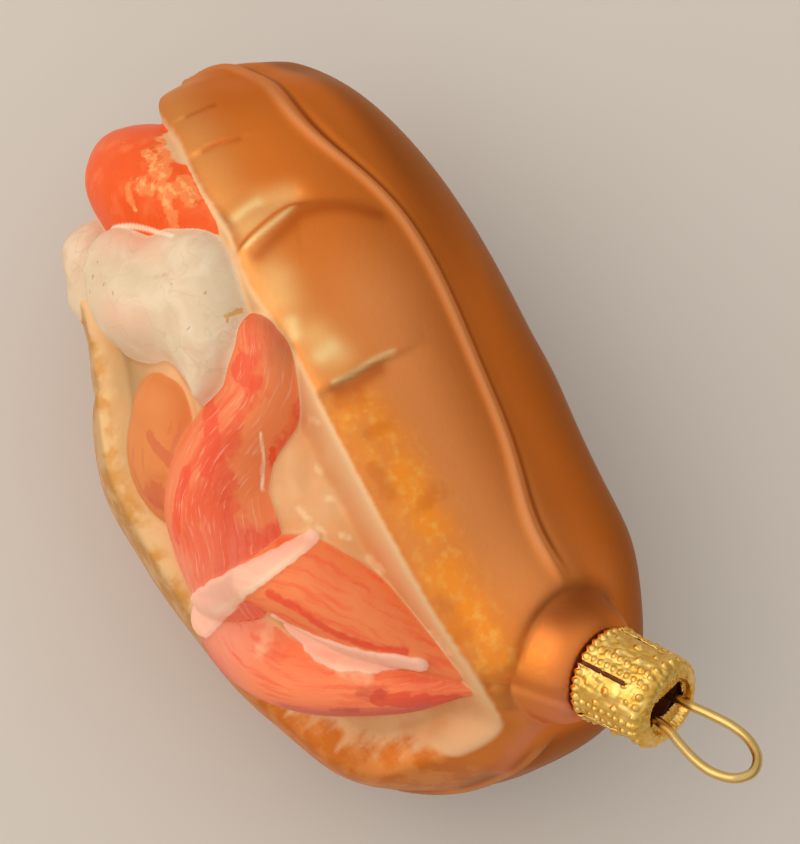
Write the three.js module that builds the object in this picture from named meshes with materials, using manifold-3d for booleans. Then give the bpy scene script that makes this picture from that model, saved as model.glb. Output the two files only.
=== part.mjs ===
// Blown-glass tree ornament in the shape of a seafood roll: a split bun with a filling of
// shrimp and claw meat in relief, a neck with a stamped metal cap, and a wire hanger loop.
// Units are millimetres, +Z is up and the ornament lies on its lower bun half.
//
// The glass is worked out in a body frame and turned into the row frame at the end:
//   L  along the roll, towards the neck end
//   S  square to L, in the plane of the mould seam, towards the upper bun half
//   F  square to both, out of the open side with the filling
// A place on the bun is given as x, millimetres along L, and an angle round L that is
// 0 degrees at F and 90 degrees at S. Heights are millimetres above the plain bun.
import * as THREE from 'three';
import { mergeVertices } from 'three/addons/utils/BufferGeometryUtils.js';
import Module from 'manifold-3d';

// ---- driving dimensions -------------------------------------------------------------
const HALF_LENGTH = 46;
const SECTION_RADIUS = 26;
const FAR_END_POWER = 2.2;
const NEAR_END_POWER = 2.5;
const FAR_BEND = { s: 0.8, f: -3.4 };
const NEAR_BEND = { s: 3.9, f: -6.0 };
const ROLL_ANGLE = 50;
const REST_DEPTH = 25.3;
const ORIGIN_SHIFT = { x: -6.5, y: 0.2 };

const STEPS_ROUND = 60;
const STEPS_ALONG = 58;
const FRONT_DENSITY = 0.6;
const FRONT_ANGLE = 20;

const LIP_RISE = 0.7;
const LIP_WIDTH = { crust: 5, crumb: 1.2 };
const CRUMB_DEPTH = 2.4;
const FAR_END_EXTRA_DEPTH = 3.0;
const FAR_END_CUT = 5.5;
const FAR_NOSE_DROP = 1.0;

// The lips and the near edge of the open side: angles in degrees, falls as [degrees, from x, to x].
// A swell or a hollow is [height, x, half width].
const UPPER_LIP = { angle: 45.5, arch: 0.0048, top: 6 };
const UPPER_LIP_DIPS = [[-2.5, -12, 6]];
const UPPER_LIP_FALLS = [[2.5, -17, -26], [9, -31, -44]];
const LOWER_LIP = -21;
const LOWER_LIP_DIPS = [[-4, 28, 9], [4, -12, 10]];
const NEAR_EDGE = { x: 41.8, hollow: 2.6, middle: 22, half: 42 };
const NEAR_EDGE_SLOPE = 1.4;
const FAR_EDGE_SLOPE = 1.2;
const EDGE_SOFTNESS = 0.8;

// Slow swells of the two bun halves, of the back, and of the upper half's nose.
const LOWER_SWELLS = [[-1.9, -19, 8], [0.8, -2, 6], [-0.4, 17, 6], [1.3, 37.5, 5]];
const UPPER_SWELLS = [[0.5, -31, 6], [-0.9, 11, 13], [-0.9, -40, 4]];
const BACK_SWELLS = [[0.75, 27, 6], [0.3, 6, 5]];
const NOSE_SWELLS = [[-1.2, -43, 4.5]];

const SEAM_OFFSET = 0.7;
const SEAM_SWELLS = [[4.3, -28.5, 10], [1.6, 23.5, 8]];
const SEAM_RISE = [0.6, 10, 30];
const RIDGE_HEIGHT = 0.7;
const RIDGE_WIDTH = 1.1;
const GROOVE_DEPTH = 0.35;
const GROOVE_SIDE = -2;
const GROOVE_WIDTH = 1.3;
const SEAM_STOPS = 8;
const SEAM_FADE = 11.5;
const POLE_FADE = 5;

const NECK_BASE = { x: 40.9, s: 22.6, f: 0.4 };
const NECK_TURN = 44.5;
const NECK_TILT = 1.2;
const NECK_RADIUS = 4.2;
const NECK_BORE = 3.0;
const NECK_HEIGHT = 7.4;
const NECK_EDGE = 0.5;
const NECK_ROOT = 10.5;
const MOUND_RADIUS = 8;
const MOUND_DEPTH = 7;
const MOUND_TOP = -0.4;
const MOUND_CURVE = 0.35;
const MOUND_STEPS = 8;
const SWELL_SIDE = new THREE.Vector3(-0.54, 0.67, 0.5);
const SWELL_HEIGHT = 3.1;
const SWELL_RADIUS = 6;
const SWELL_WIDTH = 5;
const BORE_FLOOR = 0.5;
const NECK_STEPS = 36;

const CAP_RADIUS = 5.2;
const CAP_WALL = 0.6;
const CAP_HEIGHT = 9.7;
const CAP_SHOULDER = 1.7;
const CAP_TAPER = 0.2;
const CROWN_RADIUS = 2.6;
const CROWN_DROP = 0.25;
const CROWN_DIP = 0.8;
const CAP_STEPS = 40;
const CAP_SLITS = 5;
const SLIT_WIDTH = 0.45;
const SLIT_LENGTH = 6.5;
const SLIT_TURN = 17;
const SLOT_LENGTH = 6.0;
const SLOT_WIDTH = 2.6;

const WIRE_RADIUS = 0.52;
const LOOP_TURN = 27;
const LOOP_REACH = 11.7;
const LEG_DEPTH = 6.5;
// The loop is pushed to one side in its slot, and leans further out that way.
const LOOP_PUSH = { x: 0.2, y: 0.4 };
const LOOP_LEAN = { x: 1.45, y: 0.8 };
const LOOP_STEPS = 42;
const WIRE_SIDES = 10;

const BUN_COLOUR = 0xc47434;
const METAL_COLOUR = 0xc9a04a;
const WIRE_COLOUR = 0xb8985c;

// ---- the filling --------------------------------------------------------------------
// Each lobe is a rounded ridge that follows a path of [x, angle, half width, crest height], or
// two such ridges melted together, and falls away to its foot height at its sides.
const LOBES = [
  { foot: -3.5, paths: [[[-38, -6, 6.6, 1.6], [-34.5, 8, 8.6, 2.3], [-30.5, 21, 8, 2.2],
    [-25, 32, 5.6, 1.2], [-19.5, 40, 2.4, -0.2]]] },
  { foot: -3, paths: [[[-30, -24, 4.6, 1.2], [-25, -24, 4.8, 0.6]]] },
  { foot: -3, paths: [[[-23.5, 1, 6.3, 2.2], [-19.5, 6, 7.6, 2.7], [-16, 12, 6.6, 2.5]],
    [[-20.5, 23, 4.4, 1], [-17, 29, 6, 2.1], [-13.5, 27, 7.6, 2.6], [-8.5, 25.5, 5.8, 2.2],
      [-4, 19.5, 2, 0.9]]] },
  { foot: -3, paths: [[[-5, 1, 5.5, 0.2], [0, -7, 7.2, 0.3], [3, -6, 4.5, -0.6]]] },
  { foot: -2.5, paths: [[[-6, 38.5, 4, 1.6], [-3, 36.5, 5.2, 2.4], [0.2, 30, 5.1, 2.2],
    [2.6, 18.5, 5.6, 2.6], [6.2, 8, 7.1, 3.2], [11, 2.5, 8, 3], [15, -5, 5.8, 1.9]]] },
  { foot: -2.5, paths: [[[17, 9, 4.4, 2], [19.8, 17, 5.6, 2.6], [24.7, 23.5, 5.4, 2.2],
    [30, 30, 3.8, 1.2], [35, 36, 1.6, -0.2]]] },
  { foot: -2.5, paths: [[[18, -16, 5.2, 1.4], [22.5, -16, 6, 2.2], [27.5, -8, 5.2, 2.4],
    [31.5, 6, 4.6, 2.2], [34.5, 20, 3.6, 1.4], [37, 36, 1.5, -0.2]]] },
];
const LOBE_BLEND = 0.9;
const LUMP_BLEND = 3.2;
const LOBE_ROUNDNESS = 2.2;
const FOOT_SLOPE = 2.5;
const PATH_STEPS = 3;

// Creases in the crust of the upper bun half, each a path of [x, angle, reach, step]. The glass
// steps by that much from one side of the path to the other, up towards the neck where it is
// positive, and is level again at that reach.
const CREASES = [
  [[-16.3, 43, 2.2, 1.3], [-17.4, 48, 2.6, 1.7], [-18.8, 57, 3, 1.2], [-18.2, 65, 3.4, 0.6],
    [-16.6, 77, 3.4, 0.5], [-13.9, 83, 2.4, 0.2]],
  [[2.7, 46, 2.4, -0.5], [2.3, 51, 3, -0.85], [1.7, 60, 3.2, -0.7], [1.3, 71, 3, -0.3],
    [1.1, 77, 2.4, 0]],
];
const CREASE_STEEPNESS = 1;

// ---- small maths --------------------------------------------------------------------
const radians = THREE.MathUtils.degToRad;
const clamp01 = (value) => THREE.MathUtils.clamp(value, 0, 1);
const bump = (x, centre, width) => Math.exp(-(((x - centre) / width) ** 2));


function swells(x, table) {
  return table.reduce((sum, [height, centre, width]) => sum + height * bump(x, centre, width), 0);
}

function smooth(from, to, value) {
  const t = clamp01((value - from) / (to - from));
  return t * t * (3 - 2 * t);
}

function smoothMax(a, b, blend) {
  const t = clamp01(0.5 + (0.5 * (a - b)) / blend);
  return b + (a - b) * t + blend * t * (1 - t);
}

function softMin(values, softness) {
  const sum = values.reduce((total, value) => total + Math.exp(-value / softness), 0);
  return -softness * Math.log(sum);
}

// ---- the plain bun: a bent, blunt-ended body of round section -----------------------
function endPower(x) {
  return x < 0 ? FAR_END_POWER : NEAR_END_POWER;
}

function sectionRadius(x) {
  const power = endPower(x);
  return SECTION_RADIUS * Math.max(0, 1 - Math.abs(x / HALF_LENGTH) ** power) ** (1 / power);
}

function sectionCentre(x) {
  const bend = x < 0 ? FAR_BEND : NEAR_BEND;
  const share = (x / HALF_LENGTH) ** 2;
  return { s: bend.s * share, f: bend.f * share };
}

// Body-frame vectors hold L, S and F as x, y and z.
function bunPoint(x, angle) {
  const centre = sectionCentre(x);
  const radius = sectionRadius(x);
  const turn = radians(angle);
  return new THREE.Vector3(x, centre.s + radius * Math.sin(turn), centre.f + radius * Math.cos(turn));
}

function bunNormal(x, angle) {
  const power = endPower(x);
  const along = (Math.sign(x) * Math.abs(x / HALF_LENGTH) ** (power - 1)) / HALF_LENGTH;
  const across = (sectionRadius(x) / SECTION_RADIUS) ** (power - 1) / SECTION_RADIUS;
  const turn = radians(angle);
  return new THREE.Vector3(along, across * Math.sin(turn), across * Math.cos(turn)).normalize();
}

// ---- relief: height above the plain bun ---------------------------------------------
function makeTrack(path) {
  const entries = path.map(([x, angle, width = 1]) => new THREE.Vector3(x, angle, width));
  const crests = path.map(([, , , crest = 0]) => new THREE.Vector3(crest, 0, 0));
  const count = PATH_STEPS * (path.length - 1);
  const places = new THREE.CatmullRomCurve3(entries, false, 'catmullrom').getPoints(count);
  const heights = new THREE.CatmullRomCurve3(crests, false, 'catmullrom').getPoints(count);
  return places.map((place, i) => ({
    point: bunPoint(place.x, place.y),
    width: place.z,
    crest: heights[i].x,
  }));
}

// The nearest stretch of a track, measured in half widths: its distance, width and crest, and how
// far the point lies to one side of it.
function nearestOnTrack(point, track) {
  let best = { share: Infinity, distance: Infinity, width: 1, crest: 0, side: 0 };
  for (let i = 1; i < track.length; i += 1) {
    const from = track[i - 1];
    const to = track[i];
    const stretch = new THREE.Vector3().subVectors(to.point, from.point);
    const offset = new THREE.Vector3().subVectors(point, from.point);
    const t = clamp01(offset.dot(stretch) / stretch.lengthSq());
    const distance = offset.addScaledVector(stretch, -t).length();
    const width = THREE.MathUtils.lerp(from.width, to.width, t);
    if (distance / width < best.share) {
      const crest = THREE.MathUtils.lerp(from.crest, to.crest, t);
      const outward = new THREE.Vector3(0, from.point.y, from.point.z).normalize();
      const side = offset.dot(stretch.clone().normalize().cross(outward));
      best = { share: distance / width, distance, width, crest, side };
    }
  }
  return best;
}

const lobeTracks = LOBES.map((lobe) => ({ foot: lobe.foot, tracks: lobe.paths.map(makeTrack) }));
const creaseTracks = CREASES.map(makeTrack);

function ridgeHeight(point, track, foot) {
  const near = nearestOnTrack(point, track);
  if (near.share >= 1) return foot - FOOT_SLOPE * (near.distance - near.width);
  return foot + (near.crest - foot) * (1 - near.share ** LOBE_ROUNDNESS);
}

function lobeHeight(point, lobe) {
  const ridges = lobe.tracks.map((track) => ridgeHeight(point, track, lobe.foot));
  return ridges.reduce((height, ridge) => smoothMax(height, ridge, LUMP_BLEND));
}

// The angle of the upper bun half's lip, lower towards the far end.
function upperLip(x) {
  const fall = UPPER_LIP_FALLS.reduce((sum, [degrees, from, to]) => sum + degrees * smooth(from, to, x), 0);
  return UPPER_LIP.angle - UPPER_LIP.arch * (x - UPPER_LIP.top) ** 2 + swells(x, UPPER_LIP_DIPS) - fall;
}

// How far the far end is cut back below the nose of the upper bun half.
function endCut(x, angle) {
  const belowLip = radians(upperLip(x) - angle) * sectionRadius(x);
  return FAR_END_CUT * smooth(-26, -41, x) * smooth(-0.3, 2.2, belowLip) * smooth(-165, -105, angle);
}

// Millimetres inside the open side: positive on the crumb, negative on the crust.
function openDepth(x, angle) {
  const radius = sectionRadius(x);
  const nearEdge = NEAR_EDGE.x - NEAR_EDGE.hollow * ((angle - NEAR_EDGE.middle) / NEAR_EDGE.half) ** 2;
  return softMin([
    radians(upperLip(x) - angle) * radius,
    radians(angle - LOWER_LIP - swells(x, LOWER_LIP_DIPS)) * radius,
    NEAR_EDGE_SLOPE * (nearEdge - x),
    FAR_EDGE_SLOPE * (x + HALF_LENGTH),
  ], EDGE_SOFTNESS);
}

function bunSwell(x, angle) {
  const lower = swells(x, LOWER_SWELLS) * smooth(0, -25, angle) * smooth(-120, -80, angle);
  const upper = swells(x, UPPER_SWELLS) * smooth(40, 70, angle) * smooth(125, 95, angle);
  const back = swells(x, BACK_SWELLS) * smooth(95, 125, angle);
  const nose = swells(x, NOSE_SWELLS) * smooth(0, 15, angle) * smooth(70, 40, angle);
  return lower + upper + back + nose;
}

const neckAxis = new THREE.Vector3(
  Math.cos(radians(NECK_TURN)) * Math.cos(radians(NECK_TILT)),
  Math.sin(radians(NECK_TURN)) * Math.cos(radians(NECK_TILT)),
  Math.sin(radians(NECK_TILT)),
);

// A point's distance along the neck's axis and from it, and its offset from the axis.
function neckPlace(point) {
  const offset = new THREE.Vector3(point.x - NECK_BASE.x, point.y - NECK_BASE.s, point.z - NECK_BASE.f);
  const along = offset.dot(neckAxis);
  const across = offset.addScaledVector(neckAxis, -along);
  return { along, across, radius: across.length() };
}

function crustHeight(point, x) {
  const [rise, from, to] = SEAM_RISE;
  const side = point.z - (SEAM_OFFSET + swells(x, SEAM_SWELLS) + rise * smooth(from, to, x));
  let height = RIDGE_HEIGHT * bump(side, 0, RIDGE_WIDTH);
  height -= GROOVE_DEPTH * bump(side, GROOVE_SIDE, GROOVE_WIDTH);
  height *= smooth(SEAM_STOPS, SEAM_FADE, neckPlace(point).radius);
  for (const track of creaseTracks) {
    const near = nearestOnTrack(point, track);
    height += 0.5 * near.crest * Math.tanh(near.side / CREASE_STEEPNESS) * Math.exp(-near.share);
  }
  return height;
}

function reliefHeight(point, x, angle) {
  const open = openDepth(x, angle);
  const poleFade = smooth(0, POLE_FADE, sectionRadius(x));
  const lip = LIP_RISE * bump(open, 0, open < 0 ? LIP_WIDTH.crust : LIP_WIDTH.crumb);
  const crumb = (CRUMB_DEPTH + FAR_END_EXTRA_DEPTH * smooth(-26, -38, x)) * smooth(0, 4, open) * poleFade;
  const crust = crustHeight(point, x) * smooth(1, -1, open);
  const cut = (crumb ** 4 + endCut(x, angle) ** 4) ** 0.25;
  let height = crust + (bunSwell(x, angle) + lip) * poleFade - cut - FAR_NOSE_DROP * smooth(-41, -46, x);
  for (const lobe of lobeTracks) height = smoothMax(height, lobeHeight(point, lobe), LOBE_BLEND);
  return height;
}

// ---- frames -------------------------------------------------------------------------
const rollTurn = radians(ROLL_ANGLE);
const bodyToRow = new THREE.Matrix4().makeBasis(
  new THREE.Vector3(1, 0, 0),
  new THREE.Vector3(0, Math.cos(rollTurn), Math.sin(rollTurn)),
  new THREE.Vector3(0, -Math.sin(rollTurn), Math.cos(rollTurn)),
).setPosition(ORIGIN_SHIFT.x, ORIGIN_SHIFT.y, REST_DEPTH);

// How far the glass swells along the neck's axis, on one side of the neck's mound.
function neckSwell(point) {
  const { along, across, radius } = neckPlace(point);
  const facing = smooth(-0.1, 0.8, across.dot(SWELL_SIDE) / Math.max(radius, 1));
  return facing * SWELL_HEIGHT * bump(radius, SWELL_RADIUS, SWELL_WIDTH) * smooth(-15, -10, along);
}

// The neck frame has its origin in the middle of the cap's rim and +Z out of the neck.
function neckFrame(spin = 0) {
  const forward = new THREE.Vector3(0, 0, 1).addScaledVector(neckAxis, -neckAxis.z).normalize();
  const side = new THREE.Vector3().crossVectors(neckAxis, forward);
  const basis = new THREE.Matrix4().makeBasis(forward, side, neckAxis);
  basis.setPosition(NECK_BASE.x, NECK_BASE.s, NECK_BASE.f);
  return bodyToRow.clone().multiply(basis).multiply(new THREE.Matrix4().makeRotationZ(spin));
}

// ---- solids -------------------------------------------------------------------------
const wasm = await Module();
wasm.setup();

function toSolid(geometry) {
  const bare = geometry.clone();
  bare.deleteAttribute('normal');
  bare.deleteAttribute('uv');
  const merged = mergeVertices(bare, 1e-4);
  return new wasm.Manifold(new wasm.Mesh({
    numProp: 3,
    vertProperties: Float32Array.from(merged.attributes.position.array),
    triVerts: Uint32Array.from(merged.index.array),
  }));
}

function toGeometry(solid) {
  const mesh = solid.getMesh();
  const geometry = new THREE.BufferGeometry();
  geometry.setAttribute('position', new THREE.BufferAttribute(mesh.vertProperties, 3));
  geometry.setIndex(new THREE.BufferAttribute(mesh.triVerts, 1));
  geometry.computeVertexNormals();
  return geometry;
}

function lathe(profile, steps) {
  return new THREE.LatheGeometry(profile.map(([radius, z]) => new THREE.Vector2(radius, z)), steps)
    .rotateX(Math.PI / 2);
}

// Bun and filling: a sphere whose points are moved onto the bun and raised by the relief.
function bunGeometry() {
  const geometry = new THREE.SphereGeometry(1, STEPS_ROUND, STEPS_ALONG);
  const position = geometry.attributes.position;
  for (let i = 0; i < position.count; i += 1) {
    const onSphere = new THREE.Vector3().fromBufferAttribute(position, i);
    const along = THREE.MathUtils.clamp(onSphere.y, -1, 1);
    const evenTurn = Math.atan2(onSphere.z, onSphere.x);
    const turn = evenTurn - FRONT_DENSITY * Math.sin(evenTurn - radians(FRONT_ANGLE));
    const power = along < 0 ? FAR_END_POWER : NEAR_END_POWER;
    const x = HALF_LENGTH * Math.sign(along) * Math.abs(along) ** (2 / power);
    let angle = THREE.MathUtils.radToDeg(turn);
    if (angle > 180) angle -= 360;
    if (angle < -180) angle += 360;
    if (Math.abs(along) === 1) angle = 0;
    const plain = bunPoint(x, angle);
    const point = plain.clone().addScaledVector(bunNormal(x, angle), reliefHeight(plain, x, angle));
    point.addScaledVector(neckAxis, neckSwell(plain));
    point.applyMatrix4(bodyToRow);
    point.z = Math.max(point.z, 0);
    position.setXYZ(i, point.x, point.y, point.z);
  }
  return geometry;
}

// Neck tube on a round mound of glass, closed at the bottom of the bore.
function neckGeometry() {
  const mound = Array.from({ length: MOUND_STEPS + 1 }, (_, i) => {
    const share = 1 - i / MOUND_STEPS;
    const radius = NECK_RADIUS + (MOUND_RADIUS - NECK_RADIUS) * share ** MOUND_CURVE;
    return [radius, MOUND_TOP - MOUND_DEPTH * share];
  });
  const profile = [
    [0, -NECK_ROOT], [MOUND_RADIUS, -NECK_ROOT], ...mound,
    [NECK_RADIUS, NECK_HEIGHT - NECK_EDGE], [NECK_RADIUS - NECK_EDGE, NECK_HEIGHT], [NECK_BORE, NECK_HEIGHT],
    [NECK_BORE, BORE_FLOOR], [0, BORE_FLOOR],
  ];
  return lathe(profile, NECK_STEPS).applyMatrix4(neckFrame());
}

function glassBody() {
  const solid = toSolid(bunGeometry()).add(toSolid(neckGeometry()));
  return toGeometry(solid);
}

// Stamped cap: skirt with slits, rounded shoulder, dished top with a slot for the wire.
function capGeometry() {
  const cornerSteps = 4;
  const corner = (radius, height, size) => Array.from({ length: cornerSteps + 1 }, (_, i) => {
    const t = (i / cornerSteps) * (Math.PI / 2);
    return [radius - size * (1 - Math.cos(t)), height - size * (1 - Math.sin(t))];
  });
  const inner = CAP_RADIUS - CAP_WALL;
  const edge = CAP_HEIGHT - CROWN_DROP;
  const dish = edge - CROWN_DIP;
  const profile = [
    [inner, 0], [CAP_RADIUS, 0],
    ...corner(CAP_RADIUS - CAP_TAPER, edge, CAP_SHOULDER),
    [CROWN_RADIUS, dish], [0, dish], [0, dish - CAP_WALL], [CROWN_RADIUS, dish - CAP_WALL],
    ...corner(inner - CAP_TAPER, edge - CAP_WALL, CAP_SHOULDER - CAP_WALL).reverse(),
    [inner, 0],
  ];
  let solid = toSolid(lathe(profile, CAP_STEPS));
  for (let i = 0; i < CAP_SLITS; i += 1) {
    const slit = new THREE.BoxGeometry(2 * CAP_WALL + 2, SLIT_WIDTH, 2 * SLIT_LENGTH);
    slit.translate(CAP_RADIUS, 0, 0).rotateZ((i / CAP_SLITS) * 2 * Math.PI + radians(SLIT_TURN));
    solid = solid.subtract(toSolid(slit));
  }
  const slot = new THREE.BoxGeometry(SLOT_LENGTH, SLOT_WIDTH, 6).translate(0, 0, CAP_HEIGHT);
  solid = solid.subtract(toSolid(slot));
  return toGeometry(solid).applyMatrix4(neckFrame(radians(LOOP_TURN)));
}

// Wire hanger: two legs down through the slot and one long round bow above the cap.
function loopGeometry() {
  const side = [[1.7, -LEG_DEPTH], [1.75, -2], [1.95, 1], [2.5, 3.4], [2.95, 6.2], [2.8, 8.7], [1.8, 10.8]];
  const path = [...side, [0, LOOP_REACH], ...side.map(([x, z]) => [-x, z]).reverse()];
  const points = path.map(([x, z]) => {
    const share = Math.max(z, 0) / LOOP_REACH;
    const y = LOOP_PUSH.y + LOOP_LEAN.y * share;
    return new THREE.Vector3(x + LOOP_PUSH.x + LOOP_LEAN.x * share, y, CAP_HEIGHT + z);
  });
  const wire = new THREE.Shape().absarc(0, 0, WIRE_RADIUS, 0, 2 * Math.PI, false);
  const geometry = new THREE.ExtrudeGeometry(wire, {
    steps: LOOP_STEPS,
    curveSegments: WIRE_SIDES / 2,
    bevelEnabled: false,
    extrudePath: new THREE.CatmullRomCurve3(points, false, 'centripetal'),
  });
  return geometry.applyMatrix4(neckFrame(radians(LOOP_TURN)));
}

// ---- scene graph --------------------------------------------------------------------
function part(name, geometry, color, roughness, metalness) {
  const mesh = new THREE.Mesh(geometry, new THREE.MeshStandardMaterial({ color, roughness, metalness }));
  mesh.name = name;
  return mesh;
}

const ornament = new THREE.Group();
ornament.add(part('glass_body', glassBody(), BUN_COLOUR, 0.35, 0.4));
ornament.add(part('metal_cap', capGeometry(), METAL_COLOUR, 0.3, 1));
ornament.add(part('hanger_loop', loopGeometry(), WIRE_COLOUR, 0.25, 1));

export default ornament;
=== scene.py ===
"""Looks of the blown-glass roll ornament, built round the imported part.

The glass is worked out in millimetres in a body frame and turned into the row frame at the end:
  L  along the roll, towards the neck
  S  square to L, in the plane of the mould seam, towards the upper bun half
  F  square to both, out of the open side with the filling
A place on the bun is (x, angle): millimetres along L, and degrees round L from F towards S.
"""

import bmesh
import bpy
import numpy as np
from mathutils import Matrix, Vector
from numpy.linalg import norm


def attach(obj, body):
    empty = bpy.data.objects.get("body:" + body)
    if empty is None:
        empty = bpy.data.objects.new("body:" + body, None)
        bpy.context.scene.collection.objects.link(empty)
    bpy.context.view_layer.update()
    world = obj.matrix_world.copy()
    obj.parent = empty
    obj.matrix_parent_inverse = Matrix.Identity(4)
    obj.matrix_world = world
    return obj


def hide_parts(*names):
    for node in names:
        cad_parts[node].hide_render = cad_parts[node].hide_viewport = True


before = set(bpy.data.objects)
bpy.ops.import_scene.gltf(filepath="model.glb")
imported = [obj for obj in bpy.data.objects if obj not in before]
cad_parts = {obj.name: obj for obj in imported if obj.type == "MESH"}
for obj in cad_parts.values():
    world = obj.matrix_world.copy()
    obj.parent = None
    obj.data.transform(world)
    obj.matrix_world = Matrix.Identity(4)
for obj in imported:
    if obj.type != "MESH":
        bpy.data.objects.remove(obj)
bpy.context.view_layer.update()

MM = 0.001

# ---- driving dimensions, the same as the solids' ----
HALF_LENGTH, SECTION_RADIUS = 46.0, 26.0
FAR_END_POWER, NEAR_END_POWER = 2.2, 2.5
# How far each end bends away from L, along S and F.
FAR_BEND, NEAR_BEND = (0.8, -3.4), (3.9, -6.0)
ROLL_ANGLE, REST_DEPTH = 50.0, 25.3
BODY_ORIGIN = np.array([-6.5, 0.2, REST_DEPTH])

LIP_RISE, LIP_WIDTH_CRUST, LIP_WIDTH_CRUMB = 0.7, 5.0, 1.2
CRUMB_DEPTH, FAR_END_EXTRA_DEPTH, FAR_END_CUT = 2.4, 3.0, 5.5
CRUMB_RAMP, CRUMB_LUMP_RISE, CRUMB_LUMPS, FAR_END = 4, 0.1, (4.5, 3), (-26, -38)
FAR_NOSE_DROP, FAR_NOSE = 1.0, (-41, -46)
# The cut of the far end fades in along L and out again behind. It deepens over END_CUT_RISE mm
# below the lip, and over END_CUT_SLOPE more near the pole, where the section is narrow.
END_CUT_ALONG, END_CUT_BEHIND, END_CUT_START = (-26, -41), (-165, -105), -0.14
END_CUT_RISE, END_CUT_SLOPE, END_CUT_NARROW = 2.2, 5.0, (9, 3)
# The lips and the near edge of the open side. A swell or hollow is (height, x, half width).
UPPER_LIP, UPPER_LIP_ARCH, UPPER_LIP_TOP, UPPER_LIP_DIPS = 45.5, 0.0048, 6.0, [(-2.5, -12, 6)]
UPPER_LIP_FALLS = [(2.5, -17, -26), (9, -31, -44)]
LOWER_LIP, LOWER_LIP_DIPS = -21.0, [(-4, 28, 9), (4, -12, 10)]
NEAR_EDGE, NEAR_EDGE_HOLLOW, NEAR_EDGE_MIDDLE, NEAR_EDGE_HALF = 41.8, 2.6, 22.0, 42.0
NEAR_EDGE_SLOPE, FAR_EDGE_SLOPE, EDGE_SOFTNESS = 1.4, 1.2, 0.8
# Slow swells of the lower and upper bun halves, the back, and the upper half's nose: the angles
# over which each set fades in and out, and the swells.
BUN_SWELLS = [
    ([(0, -25), (-120, -80)],
     [(-1.9, -19, 8), (0.8, -2, 6), (-0.4, 17, 6), (1.3, 37.5, 5), (-0.5, -13, 1.6)]),
    ([(40, 70), (125, 95)], [(0.5, -31, 6), (-0.9, 11, 13), (-0.9, -40, 4)]),
    ([(95, 125)], [(0.75, 27, 6), (0.3, 6, 5)]),
    ([(0, 15), (70, 40)], [(-1.2, -43, 4.5)]),
]
SEAM_OFFSET, SEAM_SWELLS, SEAM_RISE = 0.7, [(4.3, -28.5, 10), (1.6, 23.5, 8)], (0.6, 10, 30)
RIDGE_HEIGHT, RIDGE_WIDTH, POLE_FADE = 0.5, 0.75, 5.0
GROOVE_DEPTH, GROOVE_SIDE, GROOVE_WIDTH, GROOVE_DEEPEST = 0.18, -1.4, 0.8, (-23, 11)

NECK_BASE = np.array([40.9, 22.6, 0.4])
NECK_TURN, NECK_TILT = 44.5, 1.2
NECK_RADIUS, NECK_BORE, NECK_HEIGHT = 4.2, 3.0, 7.4
SEAM_STOPS, SEAM_FADE = 8.0, 11.5
MOUND_TOP, MOUND_DEPTH, MOUND_RADIUS, MOUND_CURVE = -0.4, 7.0, 8.0, 0.35
SWELL_SIDE, SWELL_HEIGHT = np.array([-0.54, 0.67, 0.5]), 3.1
SWELL_RADIUS, SWELL_WIDTH, SWELL_FACING = 6.0, 5.0, (-0.1, 0.8)
MOAT_RADIUS, MOAT_DEPTH, MOAT_WIDTH = 7.6, 0.9, 1.0
# Where the mound fades in along the neck's axis, its fall beyond its radius, and its softness.
MOUND_FROM, MOUND_FULL, MOUND_FALL, MOUND_BLEND = -15, -10, 4, 0.7

CAP_RADIUS, CAP_HEIGHT, CAP_SHOULDER, CAP_TAPER = 5.2, 9.7, 1.7, 0.2
CROWN_DROP, CROWN_DIP, CROWN_RADIUS = 0.25, 0.8, 2.6
CAP_SLITS, SLIT_WIDTH, SLIT_LENGTH, SLIT_TURN = 5, 0.45, 6.5, 17.0
RIM_BEADS, TOP_BEADS = 34, 26
SLOT_LENGTH, SLOT_WIDTH = 6.0, 2.6
WIRE_RADIUS, LOOP_TURN, LOOP_REACH, LEG_DEPTH = 0.52, 27.0, 11.7, 6.5
# The loop is pushed to one side in its slot, and leans further out that way.
LOOP_PUSH, LOOP_LEAN = np.array([0.2, 0.4]), np.array([1.45, 0.8])

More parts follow.
